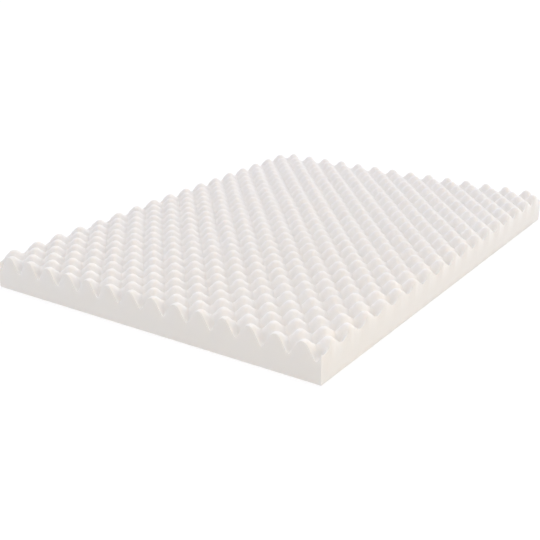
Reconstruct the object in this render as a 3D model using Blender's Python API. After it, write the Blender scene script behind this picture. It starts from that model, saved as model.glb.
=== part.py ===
"""Egg crate foam pad: one slab of convoluted foam, flat below, staggered domes and hollows on top.

The pad is cut as it is in the workshop: a sheet of whole domes and hollows is made first, its
four sides are trimmed straight and square, and the trimmed sheet is closed down to a flat base.
X runs across the pad, Y along it, and the base lies on Z = 0.
"""

from math import cos, pi

import bmesh
import bpy
from mathutils import Matrix, Vector

# Driving dimensions in metres
WIDTH = 1.372
LENGTH = 1.905
THICKNESS = 0.127
HOLLOW_FLOOR = 0.068

# Pitches between the outermost domes of a row, across the pad and along it
PITCHES_ACROSS = 14
PITCHES_ALONG = 17

# The sides are trimmed this far outside the outermost domes' middles
MARGIN_ACROSS = 0.018
MARGIN_ALONG = 0.010

# Neighbouring domes meet in saddles, this share of the way up from the hollows' floors
SADDLE = 0.6

# Width of the rim around each dome's top and around each hollow's floor
DOME_RIM = 0.0115
HOLLOW_RIM = 0.0160

# A dome's four shoulders are as high as the true surface this much nearer to its middle
SHOULDER = 0.8

# A dome and the hollow beside it each take half a pitch
CELL_X = (WIDTH - 2 * MARGIN_ACROSS) / (2 * PITCHES_ACROSS)
CELL_Y = (LENGTH - 2 * MARGIN_ALONG) / (2 * PITCHES_ALONG)
CELLS_ACROSS = 2 * PITCHES_ACROSS + 1
CELLS_ALONG = 2 * PITCHES_ALONG + 1

# Foam white, faintly warm and fully matte
FOAM_COLOUR = (0.84, 0.82, 0.79, 1.0)
FOAM_ROUGHNESS = 0.95


def clear_scene():
    for thing in list(bpy.data.objects):
        bpy.data.objects.remove(thing, do_unlink=True)


def dome_wave(x, y):
    """From 1 on a dome's middle to -1 on a hollow's, alternating like the squares of a chessboard."""
    return cos(pi * x / CELL_X) * cos(pi * y / CELL_Y)


def surface_height(x, y):
    """Height of the foam above its base: domes on broad saddles, and narrower, steeper hollows."""
    wave = dome_wave(x, y)
    share = SADDLE + (1 - SADDLE) * wave - (2 * SADDLE - 1) * min(wave, 0) ** 2
    return HOLLOW_FLOOR + (THICKNESS - HOLLOW_FLOOR) * share


def convoluted_sheet():
    """One cell of the sheet for each dome or hollow: domes rise to a point, hollows have a flat floor."""
    sheet = bmesh.new()
    spread = Matrix.Diagonal((CELLS_ACROSS * CELL_X, CELLS_ALONG * CELL_Y, 1.0, 1.0))
    bmesh.ops.create_grid(sheet, x_segments=CELLS_ACROSS, y_segments=CELLS_ALONG, size=0.5, matrix=spread)
    domes = [cell for cell in sheet.faces if dome_wave(*cell.calc_center_median().xy) > 0]
    hollows = [cell for cell in sheet.faces if dome_wave(*cell.calc_center_median().xy) < 0]
    bmesh.ops.inset_individual(sheet, faces=domes, thickness=DOME_RIM, use_even_offset=True)
    bmesh.ops.inset_individual(sheet, faces=hollows, thickness=HOLLOW_RIM, use_even_offset=True)

    for vert in sheet.verts:
        vert.co.z = surface_height(vert.co.x, vert.co.y)
    for dome in domes:
        middle = dome.calc_center_median().xy
        for vert in dome.verts:
            shoulder = middle + SHOULDER * (vert.co.xy - middle)
            vert.co.z = surface_height(shoulder.x, shoulder.y)
    for hollow in hollows:
        for vert in hollow.verts:
            vert.co.z = HOLLOW_FLOOR
    middles = bmesh.ops.poke(sheet, faces=domes)["verts"]
    for middle in middles:
        middle.co.z = THICKNESS
    return sheet


def trim_side(sheet, normal, distance):
    """Cuts the sheet along an upright plane and drops what lies beyond it."""
    geometry = list(sheet.verts) + list(sheet.edges) + list(sheet.faces)
    bmesh.ops.bisect_plane(
        sheet, geom=geometry, dist=1e-6, plane_co=normal * distance, plane_no=normal, clear_outer=True
    )


def close_side(sheet, normal, distance, base_edge):
    """Fills the upright face between a trimmed edge of the sheet and the base edge below it."""
    def on_plane(vert):
        return abs(vert.co.dot(normal) - distance) < 1e-5

    border = [edge for edge in sheet.edges if edge.is_boundary or edge.is_wire]
    outline = [edge for edge in border if all(on_plane(vert) for vert in edge.verts)]
    assert base_edge in outline
    bmesh.ops.contextual_create(sheet, geom=outline)


def foam_pad_mesh():
    sheet = convoluted_sheet()
    right, back = Vector((1, 0, 0)), Vector((0, 1, 0))
    sides = [(right, WIDTH / 2), (back, LENGTH / 2), (-right, WIDTH / 2), (-back, LENGTH / 2)]
    for normal, distance in sides:
        trim_side(sheet, normal, distance)

    # A corner post drops from each of the sheet's corners to the base
    feet = []
    for sign_x, sign_y in ((1, -1), (1, 1), (-1, 1), (-1, -1)):
        corner = Vector((sign_x * WIDTH / 2, sign_y * LENGTH / 2, 0.0))
        top = min(sheet.verts, key=lambda vert: (vert.co.xy - corner.xy).length)
        foot = sheet.verts.new(corner)
        sheet.edges.new((top, foot))
        feet.append(foot)
    base_edges = [sheet.edges.new((feet[n], feet[(n + 1) % 4])) for n in range(4)]

    for (normal, distance), base_edge in zip(sides, base_edges):
        close_side(sheet, normal, distance, base_edge)
    bmesh.ops.contextual_create(sheet, geom=base_edges)
    bmesh.ops.recalc_face_normals(sheet, faces=list(sheet.faces))

    mesh = bpy.data.meshes.new("foam_pad")
    sheet.to_mesh(mesh)
    sheet.free()
    return mesh


def foam_material():
    material = bpy.data.materials.new("foam")
    material.use_nodes = True
    shader = material.node_tree.nodes["Principled BSDF"]
    shader.inputs["Base Color"].default_value = FOAM_COLOUR
    shader.inputs["Roughness"].default_value = FOAM_ROUGHNESS
    shader.inputs["Metallic"].default_value = 0.0
    material.diffuse_color = FOAM_COLOUR
    return material


def main():
    clear_scene()
    collection = bpy.data.collections.new("egg_crate_foam_pad")
    bpy.context.scene.collection.children.link(collection)
    pad = bpy.data.objects.new("foam_pad", foam_pad_mesh())
    pad.data.materials.append(foam_material())
    collection.objects.link(pad)


main()
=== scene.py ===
# %% [markdown]
# # An egg crate foam pad
#
# Egg crate foam is made by squeezing a thick block between two knobbed rollers while a band knife
# splits it down the middle. Let go, both halves spring back: wherever a knob pressed, a hollow is
# left, and between the hollows stand rounded domes. The sheet is then trimmed square.
#
# This lesson places the camera and then makes the pad in the same order: a sheet of domes and
# hollows, trimmed sides and a flat base. The foam's finish, the floor and the light follow. The
# solid that the pad rests and collides with is already there, as a fixed frame, and the pad is
# fitted to its size.

# %% Load the frame and measure it
from math import cos, pi, radians, sin

import bmesh
import bpy
import numpy as np
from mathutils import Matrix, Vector, noise


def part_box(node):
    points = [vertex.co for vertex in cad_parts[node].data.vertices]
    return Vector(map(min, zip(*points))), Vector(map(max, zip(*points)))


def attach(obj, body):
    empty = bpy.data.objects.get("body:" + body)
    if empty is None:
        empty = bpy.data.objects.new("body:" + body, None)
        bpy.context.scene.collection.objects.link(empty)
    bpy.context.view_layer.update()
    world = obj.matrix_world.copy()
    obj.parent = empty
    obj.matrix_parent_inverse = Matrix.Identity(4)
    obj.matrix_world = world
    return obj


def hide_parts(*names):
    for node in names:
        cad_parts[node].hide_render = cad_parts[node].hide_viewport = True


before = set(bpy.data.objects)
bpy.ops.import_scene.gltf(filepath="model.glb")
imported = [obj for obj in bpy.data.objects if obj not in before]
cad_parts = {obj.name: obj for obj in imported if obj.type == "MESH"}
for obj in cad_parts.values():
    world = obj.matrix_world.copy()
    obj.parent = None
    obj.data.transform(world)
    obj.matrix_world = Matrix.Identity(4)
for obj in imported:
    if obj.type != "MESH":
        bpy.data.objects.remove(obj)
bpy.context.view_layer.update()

SLAB_NODE = "foam_pad"
lowest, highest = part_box(SLAB_NODE)
WIDTH, LENGTH, THICKNESS = highest - lowest
print(f"the pad is {WIDTH:.3f} m wide, {LENGTH:.3f} m long and {THICKNESS:.3f} m thick")

# %% [markdown]
# The camera comes first, because it decides what will show. It stands off the pad's near corner and
# looks down at about twenty degrees. A camera looks along its own -Z, so it is aimed with
# `to_track_quat`, which turns -Z to the target and keeps +Y up.

# %% Place the camera
CAMERA_TURN = radians(33.98)
CAMERA_RISE = radians(20.88)
CAMERA_DISTANCE = 3.478
CAMERA_LENS_MM = 60.21
CAMERA_TARGET = Vector((0.0404, -0.2578, 0.0))


def place_camera():
    away = Vector((
        sin(CAMERA_TURN) * cos(CAMERA_RISE),
        -cos(CAMERA_TURN) * cos(CAMERA_RISE),
        sin(CAMERA_RISE),
    ))
    bpy.ops.object.camera_add(location=CAMERA_TARGET + away * CAMERA_DISTANCE)
    camera = bpy.context.active_object
    camera.name = "camera"
    camera.rotation_euler = (-away).to_track_quat("-Z", "Y").to_euler()
    camera.data.lens = CAMERA_LENS_MM
    bpy.context.scene.camera = camera
    return camera


camera = place_camera()
print("the camera stands at", [round(c, 2) for c in camera.location])

# %% [markdown]
# The domes and hollows alternate like the squares of a chessboard. One square of the board, one
# cell, is half a pitch wide: the full pitch runs from a dome to the next dome of its row. Fourteen
# pitches fit across the pad and seventeen along it, and the knife trims the sheet a little way
# outside the middles of the outermost cells.

# %% Size the cells
PITCHES_ACROSS = 14
PITCHES_ALONG = 17
MARGIN_ACROSS = 0.018
MARGIN_ALONG = 0.010
HOLLOW_FLOOR = 0.068
MIDDLE_HEIGHT = (THICKNESS + HOLLOW_FLOOR) / 2
DOME_RISE = (THICKNESS - HOLLOW_FLOOR) / 2

CELL_X = (WIDTH - 2 * MARGIN_ACROSS) / (2 * PITCHES_ACROSS)
CELL_Y = (LENGTH - 2 * MARGIN_ALONG) / (2 * PITCHES_ALONG)
CELLS_ACROSS = 2 * PITCHES_ACROSS + 1
CELLS_ALONG = 2 * PITCHES_ALONG + 1
print(f"{CELLS_ACROSS} x {CELLS_ALONG} cells of {CELL_X * 1000:.1f} x {CELL_Y * 1000:.1f} mm")

# %% [markdown]
# The sheet starts as a grid with one face for each cell. It reaches half a cell past the middles of
# the outermost cells, which is a little more than the pad all round. A finer grid could be shaped
# point by point, but whole cells are easy to pick and to move.

# %% Add the flat sheet


def deselect_all():
    bpy.ops.object.select_all(action="DESELECT")


def add_flat_sheet():
    deselect_all()
    bpy.ops.mesh.primitive_grid_add(
        x_subdivisions=CELLS_ACROSS,
        y_subdivisions=CELLS_ALONG,
        size=1,
        location=(0, 0, MIDDLE_HEIGHT),
    )
    sheet = bpy.context.active_object
    sheet.name = "foam_slab"
    sheet.scale = (CELLS_ACROSS * CELL_X, CELLS_ALONG * CELL_Y, 1)
    bpy.ops.object.transform_apply(location=True, rotation=True, scale=True)
    return sheet


slab = add_flat_sheet()
print(len(slab.data.polygons), "cells in the flat sheet")

# %% [markdown]
# An individual inset gives every cell a smaller face in its middle. Those faces go up on the domes
# and down in the hollows, while the cells' borders stay where they are. It is the same cage that
# knobbed rollers make: pressed here, free there.
#
# Picking about five hundred domes and as many hollows by hand is slow, so a test does it: a product
# of two cosines is 1 in the middle of a dome's cell and -1 in the middle of a hollow's. Both groups
# are then moved with an ordinary edit-mode translate.

# %% Press the hollows and raise the domes
CELL_RIM = 0.0135
NEAR_MIDDLE = 0.9


def select_faces(piece, wanted):
    """Selects the faces of the piece in edit mode whose middle answers to a test, and only those."""
    mesh = bmesh.from_edit_mesh(piece.data)
    for face in mesh.faces:
        face.select_set(False)
    chosen = [face for face in mesh.faces if wanted(face)]
    for face in chosen:
        face.select_set(True)
    bmesh.update_edit_mesh(piece.data)
    return len(chosen)


def chessboard(face):
    """1 in the middle of a dome's cell, -1 in the middle of a hollow's, 0 on the border between."""
    middle = face.calc_center_median()
    return cos(pi * middle.x / CELL_X) * cos(pi * middle.y / CELL_Y)


bpy.ops.object.mode_set(mode="EDIT")
bpy.ops.mesh.select_mode(type="FACE")
bpy.ops.mesh.select_all(action="SELECT")
bpy.ops.mesh.inset(thickness=CELL_RIM, use_individual=True)
domes = select_faces(slab, lambda face: chessboard(face) > NEAR_MIDDLE)
bpy.ops.transform.translate(value=(0, 0, DOME_RISE))
hollows = select_faces(slab, lambda face: chessboard(face) < -NEAR_MIDDLE)
bpy.ops.transform.translate(value=(0, 0, -DOME_RISE))
bpy.ops.object.mode_set(mode="OBJECT")
print(domes, "domes and", hollows, "hollows")

# %% [markdown]
# A Subdivision Surface rounds the cage, because a foam has no hard folds. A denser sheet shaped by
# the cosines alone would do as well, but the rims of the inset keep the domes' tops broad. The
# rounding also flattens the cage, so the reach of the domes is measured for the next step.

# %% Round the cage
ROUNDING_LEVELS = 2


def apply_modifier(piece, kind, **settings):
    modifier = piece.modifiers.new(kind.title(), kind)
    for name, value in settings.items():
        setattr(modifier, name, value)
    bpy.ops.object.modifier_apply(modifier=modifier.name)


def read_points(piece):
    points = np.empty(len(piece.data.vertices) * 3)
    piece.data.vertices.foreach_get("co", points)
    return points.reshape(-1, 3)


def write_points(piece, points):
    piece.data.vertices.foreach_set("co", points.ravel())
    piece.data.update()


apply_modifier(slab, "SUBSURF", levels=ROUNDING_LEVELS, render_levels=ROUNDING_LEVELS)
points = read_points(slab)
swing = points[:, 2] - MIDDLE_HEIGHT
reach = np.abs(swing).max()
print(f"{len(points)} points; the domes rise {reach * 1000:.1f} of {DOME_RISE * 1000:.1f} mm")

# %% [markdown]
# The knife runs in the middle of the squeezed block, but the foam doesn't spring back evenly. The
# domes stand on broad, high saddles, and the hollows between them are narrow and steep. One curve
# turns the rounded cage into that shape. It gives the share of the height between the hollows'
# floors and the domes' tops, and it has no kink at the saddles. The share of the saddles and the
# domes' roundness were set against the cut sides, where the profile can be read.

# %% Raise the saddles and narrow the hollows
SADDLE = 0.65
ROUNDNESS = 0.3


def foam_height(swing):
    """Height over the base for a swing of -1 in a hollow, 0 on a saddle and 1 on a dome."""
    slope = (1 - SADDLE) * (1 + ROUNDNESS)
    crown = (1 - SADDLE) * ROUNDNESS * np.maximum(swing, 0) ** 2
    pit = (SADDLE - slope) * np.minimum(swing, 0) ** 3
    return HOLLOW_FLOOR + (THICKNESS - HOLLOW_FLOOR) * (SADDLE + slope * swing - crown + pit)


points[:, 2] = foam_height(swing / reach)
write_points(slab, points)
print(f"the saddles lie {foam_height(0.0) * 1000:.0f} mm above the base")

# %% [markdown]
# No two domes of a real pad are quite alike. The foam's density drifts, the rollers pinch it a bit
# more here and there, and a packed pad relaxes unevenly. Sculpting would do this by hand. Here a
# smooth noise moves the points of the sheet by a millimetre or two, with one slow drift over the
# whole pad and one quick change from dome to dome, which the hollows' floors take only in part. No
# dome may end more than a millimetre over the pad's thickness.
#
# `noise_vector` takes its offsets from the clock unless a seed is set first. With the seed, the pad
# comes out the same on every run.

# %% Let the foam relax unevenly
SLOW_DRIFT = 0.0022
SLOW_PITCH = 0.35
DOME_DRIFT = 0.0016
DOME_PITCH = 0.075
DOME_OFFSET = Vector((7.0, 3.0, 5.0))
HOLLOW_SHARE = 0.4
TALLEST_EXTRA = 0.001
RELAX_SEED = 7

noise.seed_set(RELAX_SEED)


def relax(point):
    slow = noise.noise_vector(point / SLOW_PITCH)
    quick = noise.noise_vector(point / DOME_PITCH + DOME_OFFSET)
    raised = (point.z - HOLLOW_FLOOR) / (THICKNESS - HOLLOW_FLOOR)
    shift = slow * SLOW_DRIFT + quick * DOME_DRIFT * (HOLLOW_SHARE + (1 - HOLLOW_SHARE) * raised)
    return point + shift


relaxed = np.array([relax(Vector(point)) for point in points])
relaxed[:, 2] = np.minimum(relaxed[:, 2], THICKNESS + TALLEST_EXTRA)
write_points(slab, relaxed)
print(f"the points moved by up to {np.abs(relaxed - points).max() * 1000:.1f} mm along an axis")

# %% [markdown]
# The knife now trims the sheet to the pad's width and length. `bisect` cuts along an upright plane
# and clears what lies outside it. A boolean with a box would trim it too, but a plane is simpler.
# What is left has an open edge all round, wavy where it passes through domes and hollows.

# %% Trim the four sides
CUT_SNAP = 1e-6
SIDES = (
    (Vector((1, 0, 0)), WIDTH / 2),
    (Vector((-1, 0, 0)), WIDTH / 2),
    (Vector((0, 1, 0)), LENGTH / 2),
    (Vector((0, -1, 0)), LENGTH / 2),
)


def trim_side(normal, distance):
    bpy.ops.mesh.select_all(action="SELECT")
    bpy.ops.mesh.bisect(
        plane_co=normal * distance,
        plane_no=normal,
        use_fill=False,
        clear_outer=True,
        threshold=CUT_SNAP,
    )


def count_open_edges(piece):
    """Counts the edges of the piece in edit mode that have a face on one side only."""
    return sum(edge.is_boundary for edge in bmesh.from_edit_mesh(piece.data).edges)


bpy.ops.object.mode_set(mode="EDIT")
bpy.ops.mesh.select_mode(type="EDGE")
for normal, distance in SIDES:
    trim_side(normal, distance)
print(count_open_edges(slab), "open edges along the cuts")

# %% [markdown]
# From the open edge the sides drop straight down. The edge is extruded in a few steps, each pulled
# flat to one level by scaling its height to nothing about that level, and the last one is filled
# with a face: the pad's flat base.

# %% Drop the sides and close the base
SIDE_LEVELS = (0.040, 0.020, 0.0)
FIRST_DROP = 0.001

bpy.ops.mesh.select_all(action="DESELECT")
bpy.ops.mesh.select_non_manifold(
    extend=False,
    use_wire=False,
    use_boundary=True,
    use_multi_face=False,
    use_non_contiguous=False,
    use_verts=False,
)
for level in SIDE_LEVELS:
    bpy.ops.mesh.extrude_edges_move(TRANSFORM_OT_translate={"value": (0, 0, -FIRST_DROP)})
    bpy.ops.transform.resize(value=(1, 1, 0), center_override=(0, 0, level))
bpy.ops.mesh.edge_face_add()
bpy.ops.mesh.select_all(action="SELECT")
bpy.ops.mesh.normals_make_consistent(inside=False)
print(count_open_edges(slab), "open edges are left")

# %% [markdown]
# A band knife leaves crisp edges, but foam is soft and they are never quite sharp. A bevel about a
# millimetre and a half wide lets the light catch the cut edge and the corners. Smooth shading is
# limited by angle, so that the cut sides stay flat and only the domes look round.

# %% Ease the cut edges
EDGE_EASE = 0.0016
EASE_STEPS = 2
SHARP_ABOVE = radians(50)
SMOOTH_BELOW = radians(40)

bpy.ops.mesh.select_all(action="DESELECT")
bpy.ops.mesh.edges_select_sharp(sharpness=SHARP_ABOVE)
bpy.ops.mesh.bevel(offset=EDGE_EASE, segments=EASE_STEPS, clamp_overlap=True)
bpy.ops.object.mode_set(mode="OBJECT")
bpy.ops.object.shade_smooth_by_angle(angle=SMOOTH_BELOW)
slab.data.calc_loop_triangles()
print(len(slab.data.loop_triangles), "triangles in the slab")

# %% [markdown]
# Open-cell foam is a web of tiny struts. From a step away it reads as a soft matt white that lets a
# little light in and out again, warm where the light has travelled through it. Along the crests,
# where one looks across the loose ends of the struts, it has a sheen. A plain diffuse white would
# look like plaster, so the shader scatters some of the light under the surface and adds the sheen.
#
# Everything in the finish is worked out from the pad's own coordinates, so it stays in place and
# stays the same when the pad is turned.

# %% Make the foam soft and matt
FOAM_ROUGHNESS = 0.92
FOAM_GLOSS = 0.15
SHEEN = 1.0
SHEEN_SPREAD = 0.5
SCATTER_SHARE = 0.5
SCATTER_DEPTH = 0.008
SCATTER_BY_COLOUR = (1.0, 0.9, 0.8)


class Finish:
    """A material's node tree, with one short call for each node or link."""

    def __init__(self, name):
        self.material = bpy.data.materials.new(name)
        self.material.use_nodes = True
        self.tree = self.material.node_tree
        self.shader = self.tree.nodes["Principled BSDF"]

    def set(self, **values):
        """Sets sockets of the shader. An underscore stands for a space in a socket's name."""
        for name, value in values.items():
            self.shader.inputs[name.replace("_", " ")].default_value = value

    def add(self, kind, inputs=None, **settings):
        """Adds a node with its own settings, and with values for its input sockets by name."""
        node = self.tree.nodes.new(kind)
        for name, value in settings.items():
            setattr(node, name, value)
        for name, value in (inputs or {}).items():
            node.inputs[name].default_value = value
        return node

    def link(self, source, target):
        self.tree.links.new(source, target)


foam = Finish("foam")
foam.set(Roughness=FOAM_ROUGHNESS, Specular_IOR_Level=FOAM_GLOSS)
foam.set(Sheen_Weight=SHEEN, Sheen_Roughness=SHEEN_SPREAD)
foam.set(Subsurface_Weight=SCATTER_SHARE, Subsurface_Scale=SCATTER_DEPTH)
foam.set(Subsurface_Radius=SCATTER_BY_COLOUR)
print(f"light scatters about {SCATTER_DEPTH * 1000:.0f} mm under the surface")

# %% [markdown]
# White foam is never one white. Here it drifts a little toward cream from place to place, with a
# slow noise that mixes the two colours. One flat colour would look painted.

# %% Drift from white to cream
FOAM_WHITE = (0.84, 0.82, 0.79, 1.0)
FOAM_CREAM = (0.84, 0.805, 0.76, 1.0)
BLOTCHES_PER_METRE = 5.0
BLOTCH_DETAIL = 3.0

coordinates = foam.add("ShaderNodeTexCoord").outputs["Object"]
blotch = foam.add("ShaderNodeTexNoise", {"Scale": BLOTCHES_PER_METRE, "Detail": BLOTCH_DETAIL})
tint = foam.add("ShaderNodeMix", {"A": FOAM_WHITE, "B": FOAM_CREAM}, data_type="RGBA")
foam.link(coordinates, blotch.inputs["Vector"])
foam.link(blotch.outputs["Fac"], tint.inputs["Factor"])
foam.link(tint.outputs["Result"], foam.shader.inputs["Base Color"])
print(f"each blotch is about {1000 / BLOTCHES_PER_METRE:.0f} mm wide")

# %% [markdown]
# Close up, the cut pores make a fine pitted grain, and the cut itself is a little uneven. Modelled
# pits would take millions of faces, so two bumps turn the light instead: a smooth cell texture
# for the pores and, over it, a coarser noise for the lumps.

# %% Add the pores and lumps
PORES_PER_METRE = 650.0
PORE_STRENGTH = 0.35
PORE_DEPTH = 0.0006
LUMPS_PER_METRE = 130.0
LUMP_DETAIL = 4.0
LUMP_STRENGTH = 0.4
LUMP_DEPTH = 0.0008

pores = foam.add("ShaderNodeTexVoronoi", {"Scale": PORES_PER_METRE}, feature="SMOOTH_F1")
pore_bump = foam.add("ShaderNodeBump", {"Strength": PORE_STRENGTH, "Distance": PORE_DEPTH})
foam.link(coordinates, pores.inputs["Vector"])
foam.link(pores.outputs["Distance"], pore_bump.inputs["Height"])

lumps = foam.add("ShaderNodeTexNoise", {"Scale": LUMPS_PER_METRE, "Detail": LUMP_DETAIL})
lump_bump = foam.add("ShaderNodeBump", {"Strength": LUMP_STRENGTH, "Distance": LUMP_DEPTH})
foam.link(coordinates, lumps.inputs["Vector"])
foam.link(lumps.outputs["Fac"], lump_bump.inputs["Height"])
foam.link(pore_bump.outputs["Normal"], lump_bump.inputs["Normal"])
foam.link(lump_bump.outputs["Normal"], foam.shader.inputs["Normal"])

slab.data.materials.clear()
slab.data.materials.append(foam.material)
print(len(foam.tree.nodes), "nodes in the foam's finish")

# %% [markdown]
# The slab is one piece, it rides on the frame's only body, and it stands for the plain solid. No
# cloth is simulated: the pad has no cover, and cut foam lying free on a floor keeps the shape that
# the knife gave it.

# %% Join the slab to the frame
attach(slab, "root")
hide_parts(SLAB_NODE)
print(slab.name, "stands for", SLAB_NODE)

# %% [markdown]
# A large pale floor carries the pad. In the picture it has to fade to pure white, as paper does in a
# product photograph. A white floor would throw so much light on the sides that they would be as
# bright as the top. So the floor is grey, and a weak glow of its own lifts it to white.

# %% Lay the floor
FLOOR_SIZE = 60
FLOOR_GREY = (0.45, 0.45, 0.45, 1.0)
GLOW_WHITE = (1.0, 1.0, 1.0, 1.0)
GLOW_STRENGTH = 0.57

deselect_all()
bpy.ops.mesh.primitive_plane_add(size=FLOOR_SIZE, location=(0, 0, 0))
floor = bpy.context.active_object
floor.name = "floor"
floor_finish = Finish("floor_white")
floor_finish.set(Base_Color=FLOOR_GREY, Roughness=1.0, Specular_IOR_Level=0.0)
floor_finish.set(Emission_Color=GLOW_WHITE, Emission_Strength=GLOW_STRENGTH)
floor.data.materials.append(floor_finish.material)
print("the floor is", round(floor.dimensions.x), "m wide")

# %% [markdown]
# The light is soft and comes from nearly all round, which is what makes the foam look light and
# airy. An even, faintly blue room and a wide light straight above give most of it, so the domes'
# flanks are alike and only the hollows are dark. One small lamp would draw a hard shadow beside
# every dome instead.

# %% Light the room
ROOM_COLOUR = (0.91, 0.93, 1.0, 1.0)
ROOM_STRENGTH = 0.46
OVERHEAD_COLOUR = (0.97, 0.97, 1.0)
OVERHEAD_STRENGTH = 1.42
OVERHEAD_TURN = 0
OVERHEAD_RISE = 90
OVERHEAD_WIDTH = 50
LAMP_HEIGHT = 4

world = bpy.data.worlds.new("soft_room")
world.use_nodes = True
background = world.node_tree.nodes["Background"]
background.inputs["Color"].default_value = ROOM_COLOUR
background.inputs["Strength"].default_value = ROOM_STRENGTH
bpy.context.scene.world = world


def add_sun(name, turn, rise, width, strength, colour):
    """A distant light: turn is counted from +X toward +Y, rise from the floor, all in degrees."""
    bpy.ops.object.light_add(type="SUN", location=(0, 0, LAMP_HEIGHT))
    sun = bpy.context.active_object
    sun.name = name
    sun.data.energy = strength
    sun.data.angle = radians(width)
    sun.data.color = colour
    turn, rise = radians(turn), radians(rise)
    toward = Vector((cos(turn) * cos(rise), sin(turn) * cos(rise), sin(rise)))
    sun.rotation_euler = toward.to_track_quat("Z", "Y").to_euler()


def list_lights():
    lights = [thing.name for thing in bpy.data.objects if thing.type == "LIGHT"]
    print("lights:", ", ".join(lights))


add_sun(
    "overhead_light",
    OVERHEAD_TURN,
    OVERHEAD_RISE,
    OVERHEAD_WIDTH,
    OVERHEAD_STRENGTH,
    OVERHEAD_COLOUR,
)
list_lights()

# %% [markdown]
# Two more distant lights model the form. A narrow rim light, low behind the pad, draws a thin bright
# line along the crests. A warm side light is so low that it skims the top. It brightens the right
# side and leaves the left side in shade.

# %% Add the rim light and the side light
RIM_COLOUR = (1.0, 0.99, 0.97)
RIM_STRENGTH = 1.15
RIM_TURN = 92
RIM_RISE = 24
RIM_WIDTH = 4
SIDE_COLOUR = (1.0, 0.76, 0.40)
SIDE_STRENGTH = 0.65
SIDE_TURN = -10
SIDE_RISE = 4
SIDE_WIDTH = 20

add_sun("rim_light", RIM_TURN, RIM_RISE, RIM_WIDTH, RIM_STRENGTH, RIM_COLOUR)
add_sun("side_light", SIDE_TURN, SIDE_RISE, SIDE_WIDTH, SIDE_STRENGTH, SIDE_COLOUR)
list_lights()

# %% [markdown]
# The colour of the light shifts slowly along the pad: warm at the near corner, cool over the far
# end. A distant light is the same everywhere, so this takes softboxes, which fade with distance.

# %% Add a warm softbox and a cool one
SOFTBOX_SIZE = 1.2
FILL_COLOUR = (1.0, 0.80, 0.50)
FILL_POWER = 3.5
FILL_PLACE = Vector((1.7, -2.4, 1.3))
FILL_AIM = Vector((0.6, -0.9, 0.1))
FAR_COLOUR = (0.55, 0.60, 1.0)
FAR_POWER = 2.5
FAR_PLACE = Vector((-1.0, 1.5, 1.6))
FAR_AIM = Vector((-0.4, 0.5, 0.1))


def add_softbox(name, place, aim, size, power, colour):
    """A square light near the pad, turned to a point on it."""
    bpy.ops.object.light_add(type="AREA", location=place)
    softbox = bpy.context.active_object
    softbox.name = name
    softbox.data.energy = power
    softbox.data.size = size
    softbox.data.color = colour
    softbox.rotation_euler = (place - aim).to_track_quat("Z", "Y").to_euler()


add_softbox("fill_light", FILL_PLACE, FILL_AIM, SOFTBOX_SIZE, FILL_POWER, FILL_COLOUR)
add_softbox("far_light", FAR_PLACE, FAR_AIM, SOFTBOX_SIZE, FAR_POWER, FAR_COLOUR)
list_lights()

# %% [markdown]
# The domes' left flanks are now a little darker than their right ones. A weak, cool and very wide
# light from the left evens them out. A brighter room would do it too, but it would also fill the
# hollows.

# %% Even out the left flanks
COOL_COLOUR = (0.80, 0.80, 1.0)
COOL_STRENGTH = 0.35
COOL_TURN = 180
COOL_RISE = 35
COOL_WIDTH = 30

add_sun("cool_light", COOL_TURN, COOL_RISE, COOL_WIDTH, COOL_STRENGTH, COOL_COLOUR)
list_lights()

# %% [markdown]
# Blender's usual view transform holds back the brightest tones, as film does, and the floor would
# come out grey. The Standard one shows full white as white.

# %% Show white as white
bpy.context.scene.view_settings.view_transform = "Standard"
print("view transform:", bpy.context.scene.view_settings.view_transform)
